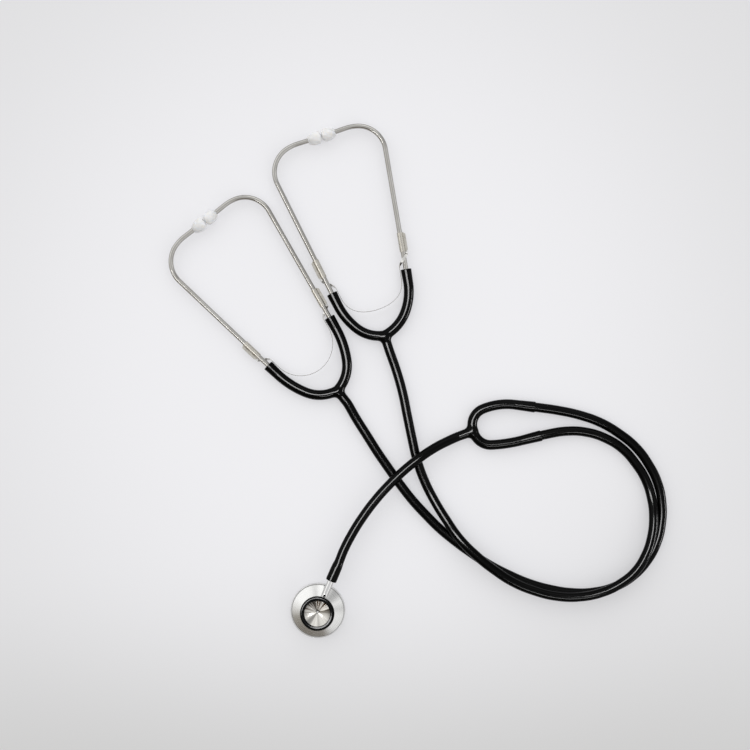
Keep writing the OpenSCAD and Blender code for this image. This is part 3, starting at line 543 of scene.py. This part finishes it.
def makeHeadsetYoke(key):
    h, size = headsets[key], yokeSize
    halves, ends = [], []
    tubeBore = tubeSize["radius"] + moulding["fit"]
    for side in (1, -1):
        points, radii, (knucklePath, knuckleTurn) = armPath(key, side)
        place, mouth = headsetMatrix(key, side), mouthMatrix(key, side)
        halves.append(([place @ p.to_3d() for p in points], radii))
        ends.append((mouth.translation, mouth.col[0].to_3d(), size["mouthRadius"], tubeBore))
    face, root = stubFace(key), headsetMatrix(key) @ Vector((-h["depth"], h["shift"], 0))
    back = (face - root).normalized()
    stub = [root + back * s for s in moulding["stub"]] + [face, face + back * moulding["past"]]
    ends.append((face, back, hose["radius"], hose["bore"]))
    name = "yokeMoulding" + key.upper()
    mesh = mould(name, [joinArms(halves), (stub, [hose["radius"]] * len(stub))], ends, size["web"])
    yoke = addPiece(name, mesh, "hoseVinyl", None, ("yoke_" + key, "free_arm_" + key), sharpAngle=60)
    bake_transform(yoke)
    print("yoke", key, "made with", len(mesh.vertices), "points")


def makeFork():
    halves, ends = [], []
    sleeve, past = fork["sleeveRadius"], moulding["past"]
    for side in (0, 1):
        fan, turn = fork["fans"][side], fork["mouthTurns"][side]
        mouth, out = Vector(fork["mouths"][side]), heading(turn)
        arcs = twoArcs(Vector(fork["crotch"]), fan, mouth - out * fork["sleeve"], turn)
        points = walk(fork["crotch"], fan, arcs)[0]
        radii = [fork["armRadius"]] * len(points) + [sleeve, sleeve + moulding["flare"]]
        halves.append(([Vector((*p, fork["z"])) for p in points + [mouth, mouth + out * past]], radii))
        ends.append(((*mouth, fork["z"]), out.to_3d(), sleeve, hose["radius"] + moulding["fit"]))
    stub = ([forkCentre - forkAhead * s for s in (*moulding["stub"], fork["stub"], fork["stub"] + past)],
            [fork["armRadius"], fork["neckRadius"], hose["radius"], hose["radius"]])
    ends.append((forkFace, -forkAhead, hose["radius"], hose["bore"]))
    mesh = mould("forkMoulding", [joinArms(halves), stub], ends, fork["web"])
    addPiece("forkMoulding", mesh, "hoseVinyl", "hoses", ("chest_yoke",), sharpAngle=60)
    print("fork made with", len(mesh.vertices), "points")


for key in headsets:
    makeHeadsetYoke(key)
makeFork()

tip = {"radius": 5.9, "collar": 3.1, "belly": 7.5, "length": 12.4, "hole": 1.4, "socket": 7.4, "fit": 0.03,
       "swell": 0.9, "nose": 0.7, "steps": 16,  # swell and nose: the lower, the fuller that part
       "mouthEdge": (0.2, 0.25), "collarEdge": (0.3, 0.15), "holeEdge": 0.3, "floorRise": (0.3, 0.2), "land": 0.5,
       "seam": 2.5}  # seam is where the closed outline starts, inside the bore
clip = {"length": 17, "edge": 0.12, "flagFrom": 4.5, "narrower": 1.0}
leaf = {"width": 2.6, "endWidth": 1.6, "widens": (2, 5), "thickness": 0.5, "edge": 0.14, "sideGap": 0.4,
        "bowPull": 14, "bowFlat": 14, "bowSteps": 9, "steps": 5,  # widens between these points, counted from its ends
        "offTube": 0.2, "inFlag": 3, "outOfFlag": 0.6, "straightShare": 0.7,
        # its passage over or under the tube: share of the way from the mouth to the flag, measured from the seat (1)
        # or the tube's axis (0), sideways, share of the full depth, more depth, twist
        "passage": [(0.81, 1, -0.5, 0.65, 0, 0), (0.71, 1, -2.1, 1, 0.1, 0), (0.6, 0, -0.3, 1, 0.2, 10),
                    (0.47, 0, -2.3, 1, 0, 28), (0.34, 0, -3.9, 0.7, 0, 52)],
        "landing": (0.18, 0.2, 0.2, 78)}  # the last point before it lies beside the mouth


def makeEarTube(key, side, word):
    size = tubeSize
    steps = [(size["inside"] + size["straight"], 0)] + tubeBends + [(size["end"] + tip["socket"], 0)]
    path = [p.to_3d() for p in walk((-size["inside"], 0), 0, steps, every=1.2)[0]]
    outer = tubeRings(path, [size["radius"]] * len(path), sides=48)
    inner = tubeRings(path, [size["radius"] - size["wall"]] * len(path), sides=48)
    mesh = faceOut(skin("earTube", outer + inner[::-1], mouthMatrix(key, side), looped=True), fill=True)
    addPiece(word + "EarTube" + key.upper(), mesh, "tubePlate", word + "_tube_" + key + "_body",
             (word + "_ear_tube_" + key,))


def makeEarTip(key, side, word):  # a pear, widest towards its nose
    radius, collar, belly, length, hole = (tip[key] for key in ("radius", "collar", "belly", "length", "hole"))
    swell, nose, steps = tip["swell"], tip["nose"], tip["steps"]
    quarter = [math.radians(90 * k / steps) for k in range(steps + 1)]
    outside = [(collar + (radius - collar) * math.sin(a) ** swell, belly * a / quarter[-1]) for a in quarter[1:-1]]
    outside += [(radius * math.cos(a) ** nose, belly + (length - belly) * math.sin(a) ** nose) for a in quarter[:-1]]
    outside = [p for p in outside if p[0] > hole + tip["land"]]
    bore, depth, edge, start = tubeSize["radius"] + tip["fit"], tip["socket"], tip["holeEdge"], tip["seam"]
    (mouthOut, mouthUp), (collarIn, collarUp) = tip["mouthEdge"], tip["collarEdge"]
    holeRise, boreRise = tip["floorRise"]
    profile = [(bore, start), (bore, mouthUp), (bore + mouthOut, 0), (collar - collarIn, 0), (collar, collarUp)]
    profile += outside + [(hole + edge, length), (hole, length - edge), (hole, depth + holeRise),
                          (bore, depth + boreRise), (bore, start)]
    points, turn = walk((tubeSize["straight"], 0), 0, tubeBends + [(tubeSize["end"], 0)])
    tail = Matrix.Translation(points[-1].to_3d()) @ Matrix.Rotation(math.radians(turn), 4, "Z")
    matrix = mouthMatrix(key, side) @ tail @ Matrix.Rotation(math.radians(90), 4, "Y")
    addPiece(word + "EarTip" + key.upper(), lathe("earTip", profile, matrix, sides=72), "milky",
             word + "_tip_" + key + "_body", (word + "_ear_tip_" + key,), sharpAngle=50)


def makeClip(key, side, word, body):  # the folded sheet, its cut edges slightly rounded
    node = word + "_clip_" + key
    mesh, place = nodes[node].data.copy(), mouthMatrix(key, side)
    back = place.inverted()
    for v in mesh.vertices:  # the flag is as narrow as in the photo
        p = back @ (v.co / mm)
        if p.y > clip["flagFrom"]:
            v.co = (place @ (p - Vector((0, clip["narrower"], 0)))) * mm
    obj = addPiece(word + "Clip" + key.upper(), mesh, "sheet", body, (node,), sharpAngle=35)
    soften = obj.modifiers.new("edges", "BEVEL")
    soften.width, soften.segments = clip["edge"] * mm, 2
    soften.limit_method, soften.angle_limit = "ANGLE", math.radians(50)


def leafHalf(key, side):  # [x, y, z, twist] from the flag, across the tube, past the mouth and to the middle
    h, size = headsets[key], yokeSize
    gap, r, over = h["clipGap"], tubeSize["radius"], h["leafPass"][side]
    seat = r + leaf["offTube"] + leaf["endWidth"] / 2
    under = r + leaf["sideGap"] + leaf["thickness"] / 2
    beside = size["mouthRadius"] + leaf["sideGap"] + leaf["thickness"] / 2
    flagEnd = gap + clip["length"]
    local = [(x, seat, 0, 0) for x in (flagEnd - leaf["inFlag"], flagEnd - clip["length"] / 2, gap - leaf["outOfFlag"])]
    local += [(gap * share, seat * seated + y, under * depth + more, twist)
              for share, seated, y, depth, more, twist in leaf["passage"]]
    share, off, depth, twist = leaf["landing"]
    local += [(gap * share, off - beside, under * depth, twist), (0, -beside, 0, 90),
              (-size["straight"] * leaf["straightShare"], -beside, 0, 90)]
    ahead, aside = heading(size["splay"]), heading(size["splay"] + 90)
    flat = [Vector((0, size["mouthHalf"])) + ahead * x + aside * y for x, y, z, a in local]
    points = [(p.x, p.y, z, a) for p, (x, y, z, a) in zip(flat, local)]
    start, low, middle = flat[-1], Vector((-h["leafDepth"], leaf["bowFlat"])), Vector((-h["leafDepth"], 0))
    pull = start - ahead * leaf["bowPull"]
    for t in (k / leaf["bowSteps"] for k in range(1, leaf["bowSteps"] + 1)):
        q = (1 - t) ** 3 * start + 3 * t * (1 - t) ** 2 * pull + 3 * t * t * (1 - t) * low + t ** 3 * middle
        points.append((q.x, q.y, 0, 90))
    return [(x, side * y, over * z, a) for x, y, z, a in points]


def smoothRows(points, steps):  # smooth curve through rows of numbers
    pts = np.array(points, dtype=float)
    padded = np.vstack([2 * pts[0] - pts[1], pts, 2 * pts[-1] - pts[-2]])
    out = []
    for a, b, c, d in zip(padded, padded[1:], padded[2:], padded[3:]):
        for t in (k / steps for k in range(steps)):
            bend = (2 * a - 5 * b + 4 * c - d) * t * t + (3 * b - a - 3 * c + d) * t ** 3
            out.append(0.5 * (2 * b + (c - a) * t + bend))
    return out + [pts[-1]]


def makeLeaf(key):
    h, steps = headsets[key], leaf["steps"]
    left, right = leafHalf(key, 1), leafHalf(key, -1)
    rows = smoothRows(left + right[-2::-1], steps)
    middle = (len(left) - 1) * steps
    d, e = leaf["thickness"] / 2, leaf["edge"]
    rings = []
    for i, row in enumerate(rows):
        fromEnd = min(i, len(rows) - 1 - i) / steps  # its ends are narrower, to fit in the flags
        w = float(np.interp(fromEnd, leaf["widens"], (leaf["endWidth"], leaf["width"]))) / 2
        corners = ((w, d - e), (w - e, d), (e - w, d), (-w, d - e), (-w, e - d), (e - w, -d), (w - e, -d), (w, e - d))
        ahead = Vector(rows[min(i + 1, len(rows) - 1)][:3] - rows[max(i - 1, 0)][:3]).normalized()
        level = Vector((-ahead.y, ahead.x, 0)).normalized()
        side = 1 if i < middle else -1
        twist = math.radians(float(np.clip(row[3], 0, 90))) * h["leafPass"][side]
        wide = level * math.cos(twist) - Vector((0, 0, side)) * math.sin(twist)
        deep = ahead.cross(wide)
        rings.append([Vector(row[:3]) + wide * x + deep * y for x, y in corners])
    mesh = faceOut(skin("leafSpring", rings, headsetMatrix(key)), fill=True)
    obj = addPiece("leafSpring" + key.upper(), mesh, "springSteel", None, ("leaf_spring_" + key,),
                   sharpAngle=35)
    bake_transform(obj)


for key, h in headsets.items():
    for side, word in ((1, "left"), (-1, "right")):
        makeEarTube(key, side, word)
        makeEarTip(key, side, word)
        makeClip(key, side, word, "free_arm_" + key + "_body" if side == h["free"] else "hoses")
    makeLeaf(key)
print("headsets made")

head = {"ring": 24, "ringHeight": 5.6, "thread": 22.8, "lip": 2.8, "lipHeight": 0.9, "film": 0.4, "chamber": 1.8,
        "hole": 1.3, "skirtTop": 13.4, "neck": 8.8, "bellTop": 22.2, "bell": 13.9, "cup": 11.4, "cupDepth": 6.6,
        "cupHollow": 0.35, "cupOut": (0.55, -0.84), "cupSteps": 12,  # cupOut points square out of the cup's wall
        "edge": 0.3, "shoulder": (1.6, -0.6), "fillet": [(0.5, -0.15), (0.1, 0.4)], "flareFrom": 1, "underRim": 0.7,
        "flareSteps": 15, "holeEdge": (0.3, 0.17), "holeSeen": 4, "threadFit": 0.05, "ringEdge": 0.45}
rim = {"cap": 1.3, "side": 1.1, "skirt": 2.3, "round": 0.95, "tuck": (0.3, 0.2), "overCup": 0.2, "crest": 0.2,
       "outerFall": 0.5, "innerFall": 0.4, "belowTop": 0.1, "lip": 0.4}
stem = {"radius": 3, "bore": 1.6, "past": 5.8, "edge": 0.4, "endWall": 0.1, "start": 0.3, "barbs": 4, "barb": 3.1,
        "barbStep": 0.1, "barbLength": 3.6, "barbLand": 0.3, "barbDrop": 0.5, "tail": 14.4}
headMatrix = Matrix.Translation((*chest["centre"], 0))
alongStem = Matrix.Rotation(math.radians(chest["stemTurn"]), 4, "Z") @ Matrix.Rotation(math.radians(90), 4, "Y")
stemMatrix = Matrix.Translation(chestPoint(0)) @ alongStem


def makeHead():  # the turned body with its skirt, neck and flare, and its nearly conical cup
    k = head
    base, top = k["lipHeight"] + k["film"], k["bellTop"]
    low = k["skirtTop"] + k["flareFrom"]
    rise = top - rim["skirt"] + k["underRim"] - low
    flare = [(k["neck"] + (k["bell"] - k["neck"]) * (1 - math.cos(a)), low + rise * math.sin(a))
             for a in (math.radians(90 * i / k["flareSteps"]) for i in range(k["flareSteps"] + 1))]
    shoulder, *fillet = [(k["neck"] + out, k["skirtTop"] + up) for out, up in [k["shoulder"]] + k["fillet"]]
    corners = [(k["thread"] - k["lip"], base), (k["thread"], base), (k["thread"], k["ringHeight"] + k["edge"]),
               shoulder]
    body = [(k["hole"], base + k["chamber"])] + rounded(corners, k["edge"]) + fillet + flare
    body += [(k["bell"], top), (k["cup"], top)]
    addPiece("turnedHead", lathe("turnedHead", body, headMatrix), "turnedSkirt", "chestpiece",
             ("chestpiece_head",), sharpAngle=30)
    floor, (outX, outZ), (edgeOut, edgeUp) = top - k["cupDepth"], k["cupOut"], k["holeEdge"]
    cup = []
    for t in (i / k["cupSteps"] for i in range(k["cupSteps"] + 1)):  # its wall is a little hollow, as in the photo
        sag = k["cupHollow"] * (1 - (2 * t - 1) ** 2)
        cup.append((k["cup"] + (k["hole"] + edgeOut - k["cup"]) * t + sag * outX,
                    top + (floor + edgeUp - top) * t + sag * outZ))
    cup += [(k["hole"], floor), (k["hole"], floor - k["holeSeen"])]
    addPiece("turnedCup", lathe("turnedCup", cup, headMatrix), "turnedCup", "chestpiece",
             sharpAngle=50)


def makeRim():  # it tucks under the flare and a little way into the cup
    k, bell, top = rim, head["bell"], head["bellTop"]
    inner, out = head["cup"] - k["overCup"], bell + k["side"]
    low, high, end = top - k["skirt"], top + k["cap"], top - k["belowTop"]
    crest, (tuckIn, tuckUp) = (inner + out) / 2 + k["crest"], k["tuck"]
    corners = [(bell - tuckIn, low + tuckUp), (bell, low), (out, low), (out, high - k["outerFall"]), (crest, high),
               (inner, high - k["innerFall"]), (inner, end), (inner + k["lip"], end)]
    addPiece("bellRim", lathe("bellRim", rounded(corners, k["round"], steps=6), headMatrix), "rimVinyl", "chestpiece",
             ("bell_rim",), sharpAngle=50)


def makeRing():  # screwed on the skirt, its lip under the diaphragm
    k = head
    inner, out, top, lip = k["thread"] + k["threadFit"], k["ring"], k["ringHeight"], k["thread"] - k["lip"]
    corners = [(inner, top - 1), (inner, top), (out, top), (out, 0), (lip, 0), (lip, k["lipHeight"]),
               (inner - 1, k["lipHeight"])]
    addPiece("diaphragmRing", lathe("diaphragmRing", rounded(corners, k["ringEdge"]), headMatrix), "stemPlate",
             "chestpiece", ("diaphragm_ring",))


def makeStem():  # from inside the head to the barbs inside the hose
    k, tail = stem, chest["stemReach"] + 1
    outside = rounded([(k["bore"] + k["endWall"], -k["past"]), (k["radius"], -k["past"]), (k["radius"], tail),
                       (k["barb"], tail + k["barbStep"])], k["edge"])
    barbs = [p for i in range(k["barbs"]) for p in ((k["barb"], tail + i * k["barbLength"] + k["barbLand"]),
                                                    (k["barb"] - k["barbDrop"], tail + (i + 1) * k["barbLength"]))]
    start = (k["bore"], k["start"] - k["past"])
    profile = [start] + outside + barbs + [(k["bore"], tail + k["tail"]), start]
    addPiece("stemTube", lathe("stemTube", profile, stemMatrix, sides=64), "stemPlate", "hoses",
             ("stem",))


makeHead()
makeRim()
makeRing()
makeStem()
plain = {"diaphragm": "film", "detent_ball": "springSteel", "detent_spring": "springSteel",
         "detent_screw": "springSteel", "upper_joiner": "springSteel", "lower_joiner": "springSteel"}
for node, material in plain.items():
    nodes[node].data.materials.clear()
    nodes[node].data.materials.append(materials[material])
print("chestpiece made")

studio = {
    "table": ("f4f4f7", "d4d4d4"), "paleShare": 0.5, "pale": 0.95,  # painted shade: it darkens outwards and towards the bottom, where less light falls
    "middle": (-5, 45), "paintedShadeOutwards": (130, 470), "paintedShadeDownwards": (-150, -400), "depths": (0.5, 0.62),
    "backdrop": "ededee", "strength": 1.88, "ceiling": "b4b4b5", "floorLine": "3a3836",
    "foot": (0.04, 0.34), "cove": (0.62, 0.93),  # where the walls meet the floor and the ceiling, as heights of 0 to 1
    "walls": [(-180, "d8d7d5"), (-155, "8a857c"), (-120, "6b645a"), (-80, "77716a"), (-60, "d6d6d6"),
              (-20, "dadada"), (-3, "bdbdbd"), (15, "e4e4e4"), (33, "a0a0a0"), (47, "969696"), (62, "f4f4f4"),
              (85, "ffffff"), (100, "cfcfcf"), (118, "f4f4f4"), (160, "f6f6f6"), (180, "d8d7d5")],
    "lamps": [  # each is turned on the pieces of some materials only
        {"name": "overVinyl", "at": (-0.6, 0.045, 2.94), "size": (1.8, 0.78), "power": 400, "turn": 25,
         "lights": ("hoseVinyl", "rimVinyl")},
        {"name": "southVinyl", "at": (0.36, -1.74, 2.42), "size": (0.9, 0.37), "power": 47, "turn": None,
         "lights": ("hoseVinyl",)},
        {"name": "eastVinyl", "at": (2.9, -0.5, 0.55), "size": (1.5, 0.24), "power": 113, "turn": None,
         "lights": ("hoseVinyl",)},
        {"name": "besideTubes", "at": (-1.52, -0.81, 2.46), "size": (1.5, 0.32), "power": 12, "turn": None,
         "lights": ("tubePlate", "sheet")},
        {"name": "southCup", "at": (-1.48, -2.71, 0.9), "size": (3.6, 1.4), "power": 28, "turn": None,
         "lights": ("turnedCup",)},
        {"name": "eastCup", "at": (2.01, -0.12, 1.27), "size": (0.8, 0.45), "power": 5, "turn": None,
         "lights": ("turnedCup",)},
        {"name": "westCup", "at": (-1.73, 0.54, 1.54), "size": (0.9, 0.5), "power": 6, "turn": None,
         "lights": ("turnedCup",)},
    ],
}


def makeTable():
    half = 3.0
    mesh = bpy.data.meshes.new("table")
    mesh.from_pydata([(-half, -half, 0), (half, -half, 0), (half, half, 0), (-half, half, 0)], [], [(0, 1, 2, 3)])
    table = bpy.data.objects.new("table", mesh)
    scene.collection.objects.link(table)
    mat, tree, bsdf = newMaterial("mattWhiteTable", Roughness=0.7, Specular_IOR_Level=0.2)
    coords = addNode(tree, "ShaderNodeTexCoord").outputs["Object"]
    middle = [c * mm for c in studio["middle"]] + [0]
    away = addNode(tree, "ShaderNodeVectorMath", {1: middle}, {0: coords}, operation="DISTANCE").outputs["Value"]
    near = addNode(tree, "ShaderNodeSeparateXYZ", {}, {0: coords}).outputs["Y"]
    # painted shade: the table's colour darkens away from the middle and towards the bottom
    fades = []
    for value, name, depth in zip((away, near), ("paintedShadeOutwards", "paintedShadeDownwards"), studio["depths"]):
        start, end = studio[name]
        fade = addNode(tree, "ShaderNodeMapRange", {"From Min": start * mm, "From Max": end * mm, "To Max": depth},
                       {"Value": value}, interpolation_type="SMOOTHSTEP")
        fades.append(fade.outputs["Result"])
    both = addNode(tree, "ShaderNodeMath", {}, {0: fades[0], 1: fades[1]}, use_clamp=True)
    # the second table tone is the painted shade
    light, dark = (colour(code) for code in studio["table"])
    tone = addNode(tree, "ShaderNodeMix", {6: light, 7: dark}, {"Factor": both.outputs[0]},
                   data_type="RGBA").outputs[2]
    tree.links.new(tone, bsdf.inputs["Base Color"])
    rays = addNode(tree, "ShaderNodeLightPath").outputs
    seen = rays["Is Camera Ray"]
    for other in ("Is Glossy Ray", "Is Transmission Ray"):
        seen = addNode(tree, "ShaderNodeMath", {}, {0: seen, 1: rays[other]}, operation="MAXIMUM").outputs[0]
    part = addNode(tree, "ShaderNodeMath", {1: studio["paleShare"]}, {0: seen}, operation="MULTIPLY")
    pale = addNode(tree, "ShaderNodeEmission", {"Strength": studio["pale"]}, {"Color": tone})
    mix = addNode(tree, "ShaderNodeMixShader", {}, {0: part.outputs[0], 1: bsdf.outputs[0], 2: pale.outputs[0]})
    tree.links.new(mix.outputs[0], tree.nodes["Material Output"].inputs["Surface"])  # shadows as soft as in the photo
    mesh.materials.append(mat)


def makeWorld():  # a room of brighter and darker walls under a plain ceiling
    world = bpy.data.worlds.new("studio")
    scene.world = world
    world.use_nodes = True
    tree = world.node_tree
    room, out = tree.nodes["Background"], tree.nodes["World Output"]
    coords = addNode(tree, "ShaderNodeTexCoord")
    way = addNode(tree, "ShaderNodeSeparateXYZ", {}, {0: coords.outputs["Generated"]}).outputs
    around = addNode(tree, "ShaderNodeMath", {}, {0: way["Y"], 1: way["X"]}, operation="ARCTAN2")
    turn = addNode(tree, "ShaderNodeMapRange", {"From Min": -math.pi, "From Max": math.pi},
                   {"Value": around.outputs[0]})
    walls = addNode(tree, "ShaderNodeValToRGB", {}, {0: turn.outputs["Result"]})
    stops = walls.color_ramp.elements
    for i, (angle, tone) in enumerate(studio["walls"]):
        place = (angle + 180) / 360
        stop = stops[0] if i == 0 else stops[-1] if i == len(studio["walls"]) - 1 else stops.new(place)
        stop.position, stop.color = place, colour(tone)
    low, high = studio["foot"]
    foot = addNode(tree, "ShaderNodeMapRange", {"From Min": low, "From Max": high}, {"Value": way["Z"]},
                   interpolation_type="SMOOTHSTEP")
    lower = addNode(tree, "ShaderNodeMix", {6: colour(studio["floorLine"])},
                    {"Factor": foot.outputs["Result"], 7: walls.outputs[0]}, data_type="RGBA")
    low, high = studio["cove"]
    cove = addNode(tree, "ShaderNodeMapRange", {"From Min": low, "From Max": high}, {"Value": way["Z"]},
                   interpolation_type="SMOOTHSTEP")
    whole = addNode(tree, "ShaderNodeMix", {7: colour(studio["ceiling"])},
                    {"Factor": cove.outputs["Result"], 6: lower.outputs[2]}, data_type="RGBA")
    tree.links.new(whole.outputs[2], room.inputs["Color"])
    room.inputs["Strength"].default_value = studio["strength"]
    backdrop = addNode(tree, "ShaderNodeBackground", {"Color": colour(studio["backdrop"]), "Strength": 1.0})
    seen = addNode(tree, "ShaderNodeLightPath").outputs["Is Camera Ray"]
    both = addNode(tree, "ShaderNodeMixShader", {}, {0: seen, 1: room.outputs[0], 2: backdrop.outputs[0]})
    tree.links.new(both.outputs[0], out.inputs["Surface"])


def makeLamp(name, at, size, power, turn, lights):  # level and turned, or aimed at the middle
    lamp = bpy.data.lights.new(name, "AREA")
    lamp.shape, lamp.energy = "RECTANGLE", power
    lamp.size, lamp.size_y = size
    obj = bpy.data.objects.new(name, lamp)
    obj.location = at
    aimed = (-Vector(at)).to_track_quat("-Z", "Y").to_euler()
    obj.rotation_euler = aimed if turn is None else (0, 0, math.radians(turn))
    scene.collection.objects.link(obj)
    lit, wanted = bpy.data.collections.new(name), [materials[key] for key in lights]
    for piece in scene.objects:
        if piece.type in ("MESH", "CURVE") and piece.data.materials and piece.data.materials[0] in wanted:
            lit.objects.link(piece)
    obj.light_linking.receiver_collection = lit
    obj.visible_diffuse = False  # it draws highlights and adds no general light


makeTable()
makeWorld()
for lamp in studio["lamps"]:
    makeLamp(**lamp)
print("studio made")
